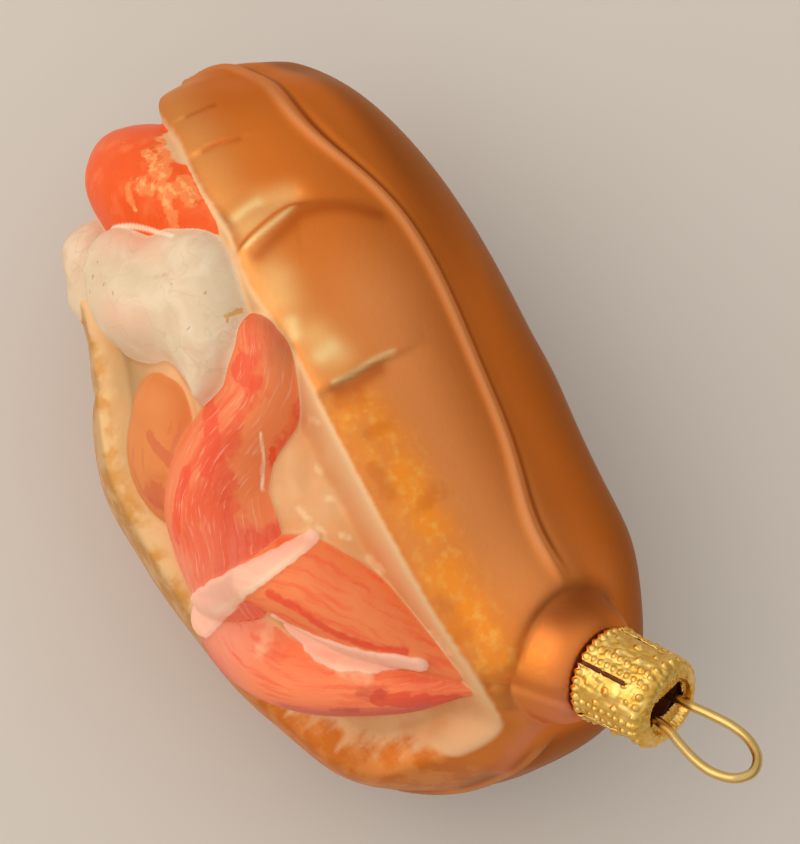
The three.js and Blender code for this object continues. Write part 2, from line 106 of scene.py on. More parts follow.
# ---- the filling: each lobe follows a path of (x, angle, half width, crest height) ----
LOBES = {
    "orange": (-3.5, 0.9, [(-38, -6, 6.6, 1.6), (-34.5, 8, 8.6, 2.3), (-30.5, 21, 8, 2.2),
        (-25, 32, 5.6, 1.2), (-19.5, 40, 2.4, -0.2)]),
    "white_low": (-3, 0.9, [(-30, -24, 4.6, 1.2), (-25, -24, 4.8, 0.6)]),
    "white": (-3, 0.9, [(-23.5, 1, 6.3, 2.2), (-19.5, 6, 7.6, 2.7), (-16, 12, 6.6, 2.5)],
        [(-20.5, 23, 4.4, 1.0), (-17, 29, 6, 2.1), (-13.5, 27, 7.6, 2.6), (-8.5, 25.5, 5.8, 2.2),
        (-4, 19.5, 2, 0.9)]),
    "hidden": (-3, 0.6, [(-5, 1, 5.5, 0.2), (0, -7, 7.2, 0.3), (3, -6, 4.5, -0.6)]),
    "claw": (-2.5, 0.6, [(-6, 38.5, 4, 1.6), (-3, 36.5, 5.2, 2.4), (0.2, 30, 5.1, 2.2),
        (2.6, 18.5, 5.6, 2.6), (6.2, 8, 7.1, 3.2), (11, 2.5, 8, 3), (15, -5, 5.8, 1.9)]),
    "upper_finger": (-2.5, 0.6, [(17, 9, 4.4, 2), (19.8, 17, 5.6, 2.6), (24.7, 23.5, 5.4, 2.2),
        (30, 30, 3.8, 1.2), (35, 36, 1.6, -0.2)]),
    "lower_finger": (-2.5, 0.6, [(18, -16, 5.2, 1.4), (22.5, -16, 6, 2.2), (27.5, -8, 5.2, 2.4),
        (31.5, 6, 4.6, 2.2), (34.5, 20, 3.6, 1.4), (37, 36, 1.5, -0.2)]),
}
# Raised strokes of thick paint on top of the claw.
STROKES = {
    "band": (0.4, [(15.6, 26, 0.9), (16.2, 19, 1.3), (16.3, 11, 1.5), (16.2, 2, 1.7), (16.6, -13, 2.3)]),
    "stripe": (0.55, [(21.4, 7, 0.9), (23.2, 5.5, 1.6), (25.9, 10.5, 2), (28.4, 16.5, 1.8),
        (30.1, 21.8, 1.5), (31.1, 27, 1.15), (32.1, 31, 0.9)]),
}
# Edges of the strokes: (width, size, seed) of their unevenness, and where they rise.
STROKE_RAGGED, STROKE_EDGE = [(0.1, 2.2, 11), (0.06, 0.9, 12)], (-0.25, 0.35)
# How softly the parts of a lobe join, how round and steep it is, and how lumpy.
LUMP_BLEND, LOBE_ROUNDNESS, FOOT_SLOPE = 3.2, 2.2, 2.5
LUMPS, SMALL_LUMPS, LUMP_SIZE = {"white": 0.16, "claw": 0.12, "orange": 0.16}, 0.08, 6
PATH_STEPS, SPOT_STEPS, LEAST_WIDTH = 8, 3, 0.05

# Creases in the crust of the upper bun half: how steep the step is, and a path of (x, angle, reach,
# step). The glass steps by that much from one side of the path to the other, up towards the neck
# where it is positive, and is level again at that reach.
CREASES = [
    (0.55, [(-16.3, 43, 2.2, 1.3), (-17.4, 48, 2.6, 1.6), (-18.8, 57, 3, 1.1),
        (-18.2, 65, 3.4, 0.45), (-16.6, 77, 3.4, 0.25), (-13.9, 83, 2.4, 0)]),
    (0.4, [(2.7, 46, 2.4, -0.5), (2.3, 51, 3, -0.85), (1.7, 60, 3.2, -0.7),
        (1.3, 71, 3, -0.3), (1.1, 77, 2.4, 0)]),
    (0.35, [(-29.3, 41, 1.4, -0.3), (-29.5, 47, 1.6, -0.4), (-29.1, 54, 1.4, -0.1)]),
    (0.35, [(-35, 39, 1.2, -0.2), (-35.2, 46, 1.4, -0.25), (-35, 51, 1.2, 0)]),
]
# Half widths over which a crease fades out.
CREASE_ENDS = (2.8, 1.2)
# The near rim of the dent beside the first crease.
DENT = [(-20.2, 42, 1.6), (-20.6, 50, 1.8), (-20, 60, 1.6)]
DENT_DEPTH = 0.45
# Soft folds in the glass between the neck and the end of the filling: (height, half width, path).
FOLDS = [
    (-0.45, 0.8, [(36.5, 44), (38.5, 55), (39.4, 64)]),
    (0.4, 1.2, [(39.4, 40), (40.5, 50), (40.6, 62)]),
    (0.35, 1.3, [(41.5, 56), (43.6, 36), (44.6, 16)]),
    (-0.35, 1.5, [(40.6, 44), (42.6, 38), (43.4, 28)]),
]

# ---- small details of the paint, painted highlights and painted shade among them: (half width, and the (x, angle) places of a path) ----
SPOTS = {
    "shine": [(0.3, (-15.8, 44), (-16.8, 50), (-17.7, 55), (-18.6, 59)), (0.6, (-19.9, 44), (-20.6, 48),
        (-20.8, 51)), (0.28, (2, 50), (1.8, 55), (1.2, 61), (1, 67)), (1, (-1.2, 50), (-1.6, 53)),
        (0.8, (-5.9, 47), (-4.5, 46.5))],
    # Painted highlights in the dents beside the creases.
    "dent_highlight": [(1.6, (-18.4, 46), (-19, 51), (-19.6, 56)), (1.5, (-20.6, 53), (-20.4, 59)), (2, (-11, 48),
        (-9, 47)), (1.8, (-3.4, 51), (-0.6, 54))],
    "shade": [(0.9, (-14.3, 46), (-16, 54), (-17.3, 61), (-16.6, 71), (-14.5, 80)), (0.8, (3, 50),
        (2.9, 55), (2.3, 62)), (0.4, (-29.2, 42), (-29.4, 47), (-29, 53)), (0.35, (-34.9, 40),
        (-35.1, 46), (-35, 50))],
    "bruise": [(1.5, (4.1, 50), (4.4, 54)), (1.1, (8.6, 52), (8.4, 57)), (1.3, (17.6, 55), (16.8, 61)),
        (1.4, (27.6, 46), (31, 44.5)), (1, (12, 49), (15, 49))],
    "beige": [(4, (-16, -5), (-11, -7)), (2.4, (-8, -8), (-3, -12))],
    "peach": [(0.9, (-31.8, 25), (-31, 27)), (1, (-28.4, 22), (-27.2, 25)), (0.9, (-26.4, 30),
        (-25.6, 31)), (0.8, (-26.8, 28), (-24.2, 28), (-22, 27.5)), (0.45, (-28.9, 18), (-26.6, 17.5)),
        (1.1, (-26.5, 34), (-24, 35)), (1, (-33.5, 30), (-30, 32)), (1.2, (-29.6, 28), (-28, 29))],
    "bare": [(1.2, (-34, 33.5), (-31.5, 35), (-29.4, 36))],
    # Painted highlight lines on the filling.
    "highlight_line": [(0.3, (-27.9, 3), (-26.3, 12), (-24.5, 18.5), (-22.6, 23.5), (-21.2, 27)), (0.13, (3.6, 30),
        (5.4, 27), (7, 24), (8.8, 21.4)), (0.4, (-12.5, -22), (-11.8, -21))],
    "wash": [(1.7, (-25.2, 8), (-22.8, 16), (-20.6, 22)), (2, (-16.5, 5), (-14, 12)), (1.6, (-9.8, 4),
        (-9, 9))],
    "fleck": [(0.13, (-23.1, 4.5), (-22.7, 4.8)), (0.12, (-21.8, 3.4), (-21.3, 3.1)), (0.11, (-20.4, 0.6),
        (-20, 0.9)), (0.1, (-19.9, 8.7), (-19.8, 7.2), (-19.4, 5.8)), (0.12, (-18.1, 9), (-17.9, 9.4)),
        (0.12, (-15.3, 24.5), (-15.1, 24.8)), (0.1, (-9.9, 25), (-9.6, 26)), (0.1, (-12.3, 31),
        (-12.6, 32))],
    "brown": [(0.3, (-9.4, 34), (-9.6, 35.6), (-9.7, 37.2)), (0.16, (-8.7, 33.2), (-9.1, 33.8))],
    "red": [(1.7, (-3.4, 33), (-1, 35)), (1, (-2.4, 20), (0.4, 21.5), (2.6, 20), (4.4, 16.5)),
        (0.8, (3.6, 11), (6.4, 5), (9, 0)), (0.6, (-3.6, 31), (-4.6, 33))],
    "orange_side": [(2.2, (-1.6, 41), (1, 38), (2.8, 33)), (1.8, (2.6, 32), (4.6, 27), (8, 21),
        (11, 19))],
    "tip_shade": [(2, (-7.9, 42), (-5.9, 43.5), (-3.4, 42))],
    "red_line": [(0.28, (5.2, 29.6), (7.1, 26), (9.2, 23.6), (10.6, 23))],
    "hidden_shade": [(0.7, (-2.9, 0.5), (-1, 1.5), (0.8, 2)), (1.6, (2.6, -8), (4.6, -6))],
    "finger_red": [(0.55, (18.9, 13), (20.5, 16), (23, 18), (25.8, 20.5), (28.4, 25), (30.2, 30.5)),
        (0.7, (19.6, 4), (21, 1.5)), (1, (33, 16), (35.2, 23), (37, 31))],
    "rose_edge": [(0.9, (29, -9), (31.4, -1), (33.8, 9), (36.2, 22)), (2.2, (19, -22), (23, -22))],
    "dark_red": [(0.8, (31.8, 13), (32.8, 17)), (0.5, (31.6, 3), (32.8, 8))],
    "cream": [(0.42, (16.3, 24), (17, 18), (17.5, 10), (17.6, 3), (17.2, -5)), (0.7, (29, 11),
        (31, 16.5)), (0.9, (18.6, -3), (20.4, -1.5), (23, -4.5))],
    # Painted glints on the pearly crumb.
    "pearl_glint": [(0.55, (12.2, 27), (13.8, 28)), (0.5, (14.8, 29), (15.8, 30)), (0.6, (9.2, 36.5),
        (9.6, 37.4)), (0.7, (20.4, 36), (22, 37)), (0.5, (12.6, 35.6), (12.9, 36.6)), (0.5, (17, 33.5),
        (17.4, 34.5)), (0.5, (4.2, 41.5), (5, 42.5)), (0.45, (30, 39), (32.4, 39))],
}
# Broader soft zones on the crust: mottled gold with a painted highlight in it, a broad painted highlight,
# and pink at the neck's foot that is partly a painted pink reflection.
BROAD_ZONES = {
    "gold": (3.0, (6, 52), (12, 55), (20, 54), (27, 51), (34, 49)),
    "broad_highlight": (7.5, (-4, 68), (6, 67), (16, 65), (27, 67)),
    "rose": (2.2, (36.8, 66), (38.4, 60), (40.6, 55)),
    "rose_end": (1.3, (42, 54), (43.8, 30), (44.8, 8)),
}
ROSE_END = 0.9
NECK_SHADE_SIDE = np.array([-0.63, 0.78, 0])

# ---- mesh density: degrees between columns, and millimetres between rows ----
COLUMN_SPACING = [
    (-180, 3.4), (-100, 3.4), (-96, 1.2), (-84, 1.2), (-80, 2.6), (-52, 1.6), (-40, 0.56),
    (54, 0.56), (60, 0.9), (72, 0.9), (76, 0.7), (95, 0.7), (106, 3), (180, 3.4),
]
ROW_SPACING = [(-46, 0.9), (-44, 0.42), (-40, 0.33), (43, 0.33), (45, 0.42), (46, 0.9)]
COLUMNS, ROWS = 290, 330
FINE_COLUMNS, FINE_ROWS, OPEN_MIDDLE = 3601, 6001, 20


# ---- small maths ----
def smooth(low, high, value):
    share = np.clip((value - low) / (high - low), 0, 1)
    return share * share * (3 - 2 * share)


def bump(value, centre, width):
    return np.exp(-(((value - centre) / width) ** 2))


def smooth_max(a, b, blend):
    share = np.clip(0.5 + 0.5 * (a - b) / blend, 0, 1)
    return b + (a - b) * share + blend * share * (1 - share)


def swells(x, table):
    return sum(height * bump(x, centre, width) for height, centre, width in table)


def soft_min(values, softness):
    return -softness * np.logaddexp.reduce([-value / softness for value in values])


def ripple(points, size, seed, waves=9):
    """Smooth unevenness, mostly between -1 and 1, with swells about `size` mm across."""
    random = np.random.default_rng(seed)
    total = np.zeros(points.shape[:-1])
    for _ in range(waves):
        direction = random.normal(size=3)
        direction *= 2 * np.pi / (norm(direction) * size * random.uniform(0.7, 1.6))
        total += np.sin(points @ direction + random.uniform(0, 2 * np.pi))
    return total / np.sqrt(waves)


def catmull(points, steps):
    """Points of a smooth curve through the given ones, `steps` to each stretch."""
    p = np.asarray(points, float)
    p = np.vstack([2 * p[0] - p[1], p, 2 * p[-1] - p[-2]])
    t = np.linspace(0, 1, steps, endpoint=False)[:, None]
    curve = [
        0.5 * (2 * b + (c - a) * t + (2 * a - 5 * b + 4 * c - d) * t**2 + (3 * b - a - 3 * c + d) * t**3)
        for a, b, c, d in zip(p, p[1:], p[2:], p[3:])
    ]
    return np.vstack(curve + [p[-2:-1]])


# ---- the plain bun ----
def end_power(x):
    return np.where(x < 0, FAR_END_POWER, NEAR_END_POWER)


def section_radius(x):
    power = end_power(x)
    return SECTION_RADIUS * np.maximum(0, 1 - np.abs(x / HALF_LENGTH) ** power) ** (1 / power)


def section_centre(x):
    """How far the section's middle is from L, along S and along F."""
    share = (x / HALF_LENGTH) ** 2
    return (np.where(x < 0, far, near) * share for far, near in zip(FAR_BEND, NEAR_BEND))


def bun_point(x, angle):
    turn = np.radians(angle)
    centre_s, centre_f = section_centre(x)
    radius = section_radius(x)
    return np.stack([x, centre_s + radius * np.sin(turn), centre_f + radius * np.cos(turn)], -1)


def bun_normal(x, angle):
    power = end_power(x)
    turn = np.radians(angle)
    along = np.sign(x) * np.abs(x / HALF_LENGTH) ** (power - 1) / HALF_LENGTH
    across = (section_radius(x) / SECTION_RADIUS) ** (power - 1) / SECTION_RADIUS
    normal = np.stack([along, across * np.sin(turn), across * np.cos(turn)], -1)
    return normal / norm(normal, axis=-1, keepdims=True)


# ---- relief ----
class Track:
    """The nearest stretch of a path to each point, measured in half widths."""

    def __init__(self, points, path, steps=PATH_STEPS):
        entries = catmull([(*step, 1, 0)[:4] for step in path], steps)
        places = bun_point(entries[:, 0], entries[:, 1])
        shape = points.shape[:-1]
        self.share, self.distance = np.full((2, *shape), np.inf)
        self.width, self.crest, self.along, self.side = (np.zeros(shape) for _ in range(4))
        travelled = 0.0
        for a, b, from_row, to_row in zip(places, places[1:], entries, entries[1:]):
            stretch = b - a
            length = norm(stretch)
            t = np.clip((points - a) @ stretch / length**2, 0, 1)
            offset = points - a - t[..., None] * stretch
            distance = norm(offset, axis=-1)
            width, crest = (start + t * (end - start) for start, end in zip(from_row[2:], to_row[2:]))
            width = np.maximum(width, LEAST_WIDTH)
            nearer = distance / width < self.share
            outward = a / norm(a * [0, 1, 1])
            found = {
                "share": distance / width,
                "distance": distance,
                "width": width,
                "crest": crest,
                "along": travelled + t * length,
                "side": offset @ np.cross(stretch / length, outward),
            }
            for name, value in found.items():
                setattr(self, name, np.where(nearer, value, getattr(self, name)))
            travelled += length


def lobe_height(track, foot):
    dome = foot + (track.crest - foot) * (1 - np.minimum(track.share, 1) ** LOBE_ROUNDNESS)
    return np.where(track.share < 1, dome, foot - FOOT_SLOPE * (track.distance - track.width))


def upper_lip(x):
    """The angle of the upper bun half's lip, lower towards the far end."""
    fall = sum(degrees * smooth(start, end, x) for degrees, start, end in UPPER_LIP_FALLS)
    return UPPER_LIP - UPPER_LIP_ARCH * (x - UPPER_LIP_TOP) ** 2 + swells(x, UPPER_LIP_DIPS) - fall


def end_cut(x, angle):
    """How far the far end is cut back below the nose of the upper bun half."""
    radius = section_radius(x)
    below_lip = np.radians(upper_lip(x) - angle) * radius
    rise = END_CUT_RISE + END_CUT_SLOPE * smooth(*END_CUT_NARROW, radius)
    step = smooth(END_CUT_START, 1, below_lip / rise)
    return FAR_END_CUT * smooth(*END_CUT_ALONG, x) * step * smooth(*END_CUT_BEHIND, angle)


def open_depth(x, angle):
    """Millimetres inside the open side: positive on the crumb, negative on the crust."""
    radius = section_radius(x)
    near_edge = NEAR_EDGE - NEAR_EDGE_HOLLOW * ((angle - NEAR_EDGE_MIDDLE) / NEAR_EDGE_HALF) ** 2
    return soft_min([
        np.radians(upper_lip(x) - angle) * radius,
        np.radians(angle - LOWER_LIP - swells(x, LOWER_LIP_DIPS)) * radius,
        NEAR_EDGE_SLOPE * (near_edge - x),
        FAR_EDGE_SLOPE * (x + HALF_LENGTH),
    ], EDGE_SOFTNESS)


def bun_swell(x, angle):
    return sum(swells(x, table) * np.prod([smooth(*fade, angle) for fade in fades], axis=0)
               for fades, table in BUN_SWELLS)


neck_turn, neck_tilt = np.radians([NECK_TURN, NECK_TILT])
NECK_AXIS = np.array([
    np.cos(neck_turn) * np.cos(neck_tilt), np.sin(neck_turn) * np.cos(neck_tilt), np.sin(neck_tilt),
])


def neck_place(points):
    """Distance along the neck's axis and from it, and the offset from the axis."""
    offset = points - NECK_BASE
    along = offset @ NECK_AXIS
    across = offset - along[..., None] * NECK_AXIS
    return along, norm(across, axis=-1), across


def seam_side(points, x):
    """Millimetres from the mould seam's ridge, towards F."""
    rise, start, end = SEAM_RISE
    return points[..., 2] - (SEAM_OFFSET + swells(x, SEAM_SWELLS) + rise * smooth(start, end, x))


def crust_height(points, x):
    side = seam_side(points, x)
    groove = GROOVE_DEPTH * (0.5 + bump(x, *GROOVE_DEEPEST))
    height = RIDGE_HEIGHT * bump(side, 0, RIDGE_WIDTH) - groove * bump(side, GROOVE_SIDE, GROOVE_WIDTH)
    height = height * smooth(SEAM_STOPS, SEAM_FADE, neck_place(points)[1])
    for steepness, path in CREASES:
        track = Track(points, path)
        fade = np.exp(-track.share) * smooth(*CREASE_ENDS, track.share)
        height = height + 0.5 * track.crest * np.tanh(track.side / steepness) * fade
    return height - DENT_DEPTH * bump(Track(points, DENT).share, 0, 1)


def neck_lift(points):
    """How far the glass rises along the neck's axis into its mound, and sinks in the moat round it."""
    along, radius, across = neck_place(points)
    share = np.maximum(radius - NECK_RADIUS, 0) / (MOUND_RADIUS - NECK_RADIUS)
    wall = MOUND_TOP - MOUND_DEPTH * share ** (1 / MOUND_CURVE)
    wall = wall - MOUND_FALL * np.maximum(radius - MOUND_RADIUS, 0)
    facing = smooth(*SWELL_FACING, across @ SWELL_SIDE / np.maximum(radius, 1))
    dome = SWELL_HEIGHT * bump(radius, SWELL_RADIUS, SWELL_WIDTH)
    moat = MOAT_DEPTH * bump(radius, MOAT_RADIUS, MOAT_WIDTH)
    swell = facing * (dome - moat) * smooth(MOUND_FROM, MOUND_FULL, along)
    lift = smooth_max(wall, along + swell, MOUND_BLEND) - along
    return np.where(along < MOUND_FROM, 0, lift)


def fold_height(points):
    return sum(rise * bump(Track(points, path).distance, 0, width) for rise, width, path in FOLDS)


def filling_lobes(points):
    """Height of each lobe of the filling, and the track of its first path."""
    heights, tracks = {}, {}
    for name, (foot, _, *paths) in LOBES.items():
        lobe_tracks = [Track(points, path) for path in paths]
        height = lobe_height(lobe_tracks[0], foot)
        for track in lobe_tracks[1:]:
            height = smooth_max(height, lobe_height(track, foot), LUMP_BLEND)
        lumps = LUMPS.get(name, SMALL_LUMPS)
        heights[name] = height + lumps * ripple(points, LUMP_SIZE, len(name))
        tracks[name] = lobe_tracks[0]
    return heights, tracks


def relief(points, x, angle):
    """Height above the plain bun, and the masks and stroke directions for the paint."""
    opening = open_depth(x, angle)
    lip = LIP_RISE * bump(opening, 0, np.where(opening < 0, LIP_WIDTH_CRUST, LIP_WIDTH_CRUMB))
    crumb = (CRUMB_DEPTH + FAR_END_EXTRA_DEPTH * smooth(*FAR_END, x)) * smooth(0, CRUMB_RAMP, opening)
    crumb = crumb - CRUMB_LUMP_RISE * ripple(points, *CRUMB_LUMPS) * smooth(1, 3, opening)
    crust = (crust_height(points, x) + fold_height(points)) * smooth(1, -1, opening)
    off_pole = smooth(0, POLE_FADE, section_radius(x))
    height = (crust + bun_swell(x, angle) + lip) * off_pole
    hollow = ((crumb * off_pole) ** 4 + end_cut(x, angle) ** 4) ** 0.25
    ground = height - hollow - FAR_NOSE_DROP * smooth(*FAR_NOSE, x)
    heights, tracks = filling_lobes(points)
    height = ground
    for name, (_, blend, *_) in LOBES.items():
        height = smooth_max(height, heights[name], blend)
    masks = {"opening": opening, "along": np.zeros_like(height), "side": np.zeros_like(height)}
    for name, track in tracks.items():
        others = [ground] + [heights[other] for other in LOBES if other != name]
        masks[name] = heights[name] - np.max(others, axis=0)
        for key in ("along", "side"):
            masks[key] = np.where(masks[name] > 0, getattr(track, key), masks[key])
    for name, (rise, path) in STROKES.items():
        track = Track(points, path)
        ragged = sum(width * ripple(points, size, seed) for width, size, seed in STROKE_RAGGED)
        masks[name] = track.width * (1 - track.share) + ragged
        height = height + rise * smooth(*STROKE_EDGE, masks[name])
    masks["seam"] = seam_side(points, x)
    masks["seam_shows"] = smooth(SEAM_STOPS + 1, SEAM_FADE + 1, neck_place(points)[1])
    return height, masks


# ---- frames ----
# The body frame's axes L, S and F in the row frame.
roll = np.radians(ROLL_ANGLE)
BODY_AXES = np.array([[1, 0, 0], [0, np.cos(roll), np.sin(roll)], [0, -np.sin(roll), np.cos(roll)]])


def to_row(points):
    """Body-frame millimetres to row-frame metres."""
    return (points @ BODY_AXES + BODY_ORIGIN) * MM


def neck_to_row(points, spin=0.0):
    """Neck-frame millimetres (origin in the middle of the cap's rim, Z out of the neck) to metres."""
    forward = np.array([0, 0, 1]) - NECK_AXIS[2] * NECK_AXIS
    forward /= norm(forward)
    side = np.cross(NECK_AXIS, forward)
    turn = np.radians(spin)
    first = np.cos(turn) * forward + np.sin(turn) * side
    second = np.cos(turn) * side - np.sin(turn) * forward
    return to_row(NECK_BASE + points @ np.stack([first, second, NECK_AXIS]))


# ---- camera: far enough for little perspective, nearly straight above ----
VIEW_LEAN, VIEW_ROUND, VIEW_TURN, VIEW_DISTANCE = 12.0, 43.0, 65.0, 300.0
IMAGE_HEIGHT, FOCAL_LENGTH = 844, 2580.0
SENSOR, CLIP_START = 36.0, 0.01
BODY_LEFT_OF_MIDDLE, BODY_BELOW_MIDDLE = 8.5, 0.35


def make_camera():
    lean, around, turn = np.radians([VIEW_LEAN, VIEW_ROUND, VIEW_TURN])
    along = np.array([1, 0, 0])
    square = np.array([0, np.sin(around), np.cos(around)])
    flat_side = np.array([0, np.cos(around), -np.sin(around)])
    towards = np.sin(lean) * along + np.cos(lean) * square
    flat_along = np.cos(lean) * along - np.sin(lean) * square
    right = np.cos(turn) * flat_along + np.sin(turn) * flat_side
    up = np.cos(turn) * flat_side - np.sin(turn) * flat_along
    place = VIEW_DISTANCE * towards + BODY_LEFT_OF_MIDDLE * right + BODY_BELOW_MIDDLE * up
    data = bpy.data.cameras.new("camera")
    data.sensor_width = SENSOR
    data.lens = FOCAL_LENGTH * SENSOR / IMAGE_HEIGHT
    data.clip_start = CLIP_START
    matrix = np.eye(4)
    matrix[:3, :3] = BODY_AXES.T @ np.stack([right, up, towards], -1)
    matrix[:3, 3] = to_row(place)
    camera = add_object("camera", data)
    camera.matrix_world = Matrix(matrix.tolist())
    bpy.context.scene.camera = camera


# ---- meshes ----
def add_object(name, data):
    piece = bpy.data.objects.new(name, data)
    bpy.context.scene.collection.objects.link(piece)
    return piece


def add_mesh(name, points, faces, masks=None):
    mesh = bpy.data.meshes.new(name)
    mesh.from_pydata(points.reshape(-1, 3).tolist(), [], faces)
    mesh.shade_smooth()
    for key, values in (masks or {}).items():
        attribute = mesh.attributes.new(key, "FLOAT", "POINT")
        attribute.data.foreach_set("value", np.asarray(values, np.float32).ravel())
    mesh.update()
    return add_object(name, mesh)


def grid_faces(rows, columns):
    """Quads of a grid that closes on itself along its columns."""
    row = np.arange(rows - 1)[:, None] * columns
    column = np.arange(columns)
    following = (column + 1) % columns
    quads = np.stack([row + column, row + following, row + columns + following, row + columns + column], -1)
    return quads.reshape(-1, 4).tolist()


def running_total(steps):
    return np.concatenate([[0], np.cumsum(steps)])


def spread(fine, steps, table, count):
    """`count` values of `fine`, as far apart as the table of spacings says, relative to one another."""
    spacing = np.interp(fine, *zip(*table))
    travelled = running_total(steps / (0.5 * (spacing[1:] + spacing[:-1])))
    return np.interp(np.linspace(0, travelled[-1], count), travelled, fine)


def body_grid():
    """x and angle of the bun's rows and columns, without its two end points."""
    slope = np.linspace(0, np.pi, FINE_ROWS)
    share = -np.cos(slope)
    x = HALF_LENGTH * np.sign(share) * np.abs(share) ** (2 / end_power(share))
    meridian = bun_point(x, OPEN_MIDDLE)
    rows = spread(x, norm(np.diff(meridian, axis=0), axis=1), ROW_SPACING, ROWS + 2)[1:-1]
    angles = np.linspace(-180, 180, FINE_COLUMNS)
    columns = spread(angles, np.diff(angles), COLUMN_SPACING, COLUMNS + 1)[:-1]
    return np.meshgrid(rows, columns, indexing="ij")


def glass_points(x, angle):
    plain = bun_point(x, angle)
    height, masks = relief(plain, x, angle)
    points = plain + bun_normal(x, angle) * height[..., None] + NECK_AXIS * neck_lift(plain)[..., None]
    masks.update(paint_zones(plain, x, angle, masks))
    return points, masks


def spot(points, paths, steps):
    """1 on the paths, and less with the distance from them."""
    return np.max([bump(Track(points, path, steps).distance, 0, width) for width, *path in paths], axis=0)


def paint_zones(points, x, angle, masks):
    """Soft zones of the paint, painted highlights and painted shade among them, each from 0 to 1, and x
    itself.
    """
    opening = masks["opening"]
    outside = smooth(0.5, -0.5, opening)
    # Painted highlight along the crust's lips, stronger towards the far end.
    far_lip_highlight = bump(opening, -1.5, 3.0) * smooth(10, -6, x)
    near_lip_highlight = 0.5 * bump(opening, -1.5, 2.2) * smooth(-6, 10, x)
    neck_along, neck_radius, _ = neck_place(points)
    neck_shade = smooth(2.5, 5.5, (points - NECK_BASE) @ NECK_SHADE_SIDE)
    zones = {name: spot(points, paths, SPOT_STEPS) for name, paths in SPOTS.items()}
    soft = {name: spot(points, [path], PATH_STEPS) for name, path in BROAD_ZONES.items()}
    return zones | {
        # Mottled gold on the crust, with a painted highlight in it.
        "gold": soft["gold"] * outside,
        "lip_highlight": (far_lip_highlight + near_lip_highlight) * outside,
        # A broad painted highlight on the crust.
        "broad_highlight": soft["broad_highlight"],
        # Pink round the neck's foot, partly a painted pink reflection.
        "rose": np.maximum(soft["rose"], ROSE_END * soft["rose_end"]),
        "lower": smooth(18, 2, angle) * smooth(-75, -30, angle) * smooth(7, 5, opening),
        "neck_warm": bump(neck_radius, 5.6, 1.2) * smooth(-1, 1, neck_along),
        # Painted shade in the moat on one side of the neck's foot.
        "neck_foot_shade": bump(neck_radius, 7.2, 1.3) * neck_shade,
        # Painted shade on the crust round towards the back.
        "shade_behind": smooth(84, 118, angle) + smooth(-70, -110, angle),
        # Deeper painted shade further round the back, and at the near pole.
        "deep_shade_behind": np.max([
            smooth(4, -22, x) * smooth(86, 100, angle),
            smooth(98, 122, angle),
            smooth(18, 34, x) * smooth(-36, -62, angle),
            smooth(43.4, 45, x),
        ], axis=0),
        "near_end": smooth(36.5, 42, x),
        "body_x": x,
        "low_edge": smooth(12, 22, x) * smooth(12, -4, angle),
        "browned": smooth(-20, -16, x) * smooth(14, -2, angle) * (0.5 + 0.35 * smooth(28, 36, x)),
    }


def make_glass():
    x, angle = body_grid()
    points, masks = glass_points(x, angle)
    rows, columns = x.shape
    ends, _ = glass_points(np.array([-HALF_LENGTH, HALF_LENGTH]), np.array([0.0, 0.0]))
    flat = to_row(np.vstack([points.reshape(-1, 3), ends]))
    flat[:, 2] = np.maximum(flat[:, 2], 0)
    faces = [face[::-1] for face in grid_faces(rows, columns)]
    far, near = rows * columns, rows * columns + 1
    last = (rows - 1) * columns
    for i in range(columns):
        following = (i + 1) % columns
        faces.append((far, i, following))
        faces.append((near, last + following, last + i))
    values = {key: np.append(mask, [mask[0].mean(), mask[-1].mean()]) for key, mask in masks.items()}
    glass = add_mesh("glass_roll", flat, faces, values)
    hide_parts("glass_body")
    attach(glass, "root")
    return glass


def full_turn(count):
    return np.linspace(0, 2 * np.pi, count, endpoint=False)


def ring_points(radius, turn, up):
    return np.stack(np.broadcast_arrays(radius * np.cos(turn), radius * np.sin(turn), up), -1)


# Radius and height of the neck, from inside the bun up its wall and down its bore.
NECK_PROFILE = np.array([
    (0, -4.5), (NECK_RADIUS + 0.8, -4.5), (NECK_RADIUS - 0.1, MOUND_TOP - 0.6),
    (NECK_RADIUS, NECK_HEIGHT - 0.5), (NECK_RADIUS - 0.4, NECK_HEIGHT),
    (NECK_BORE + 0.2, NECK_HEIGHT), (NECK_BORE, NECK_HEIGHT - 0.3), (NECK_BORE, 0.5), (0, 0.5),
])
NECK_SIDES = 72


def make_neck():
    """The glass neck inside the cap, with its bore open at the top."""
    points = ring_points(NECK_PROFILE[:, :1], full_turn(NECK_SIDES), NECK_PROFILE[:, 1:])
    neck = add_mesh("glass_neck", neck_to_row(points), grid_faces(*points.shape[:2]))
    merge_doubles(neck)
    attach(neck, "root")
    return neck


# ---- cap ----
CAP_COLUMNS, CAP_ROWS, CAP_SHELL = 400, 120, 0.28
CAP_FLAT_RADIUS = CAP_RADIUS - CAP_TAPER - CAP_SHOULDER
# Stamped beads round the rim and the top: millimetres up from the rim, radius and height.
RIM_BEAD, TOP_BEAD = (0.6, 0.42, 0.3), (8.5, 0.42, 0.28)
# Beads in a column at each side of a panel, a share of the panel from its middle.
SIDE_BEADS_UP, SIDE_BEADS_TURN, SIDE_BEAD = np.arange(1.5, 8, 0.9), 0.4, (0.36, 0.24)
# Beads of the figure in a panel's middle: share of its width, millimetres up, radius.
FIGURE_BEADS = [
    (0, 4.4, 0.5), (-0.17, 3.2, 0.36), (0.18, 3.3, 0.36), (0.15, 5.9, 0.4), (-0.16, 6.1, 0.4),
    (0, 7.2, 0.34), (0, 2, 0.34),
]
FIGURE_WIDTH, FIGURE_RISE = 1 / 0.63, 0.6
FIGURE_TURN_WANDER, FIGURE_UP_WANDER, BEAD_SEED = 0.012, 0.12, 21
# Unevenness of the thin metal: (height, size, seed).
CAP_GRAIN = [(0.045, 1.1, 31), (0.02, 0.55, 32)]
SCALLOP, SCALLOP_TOP = 0.16, 1.2


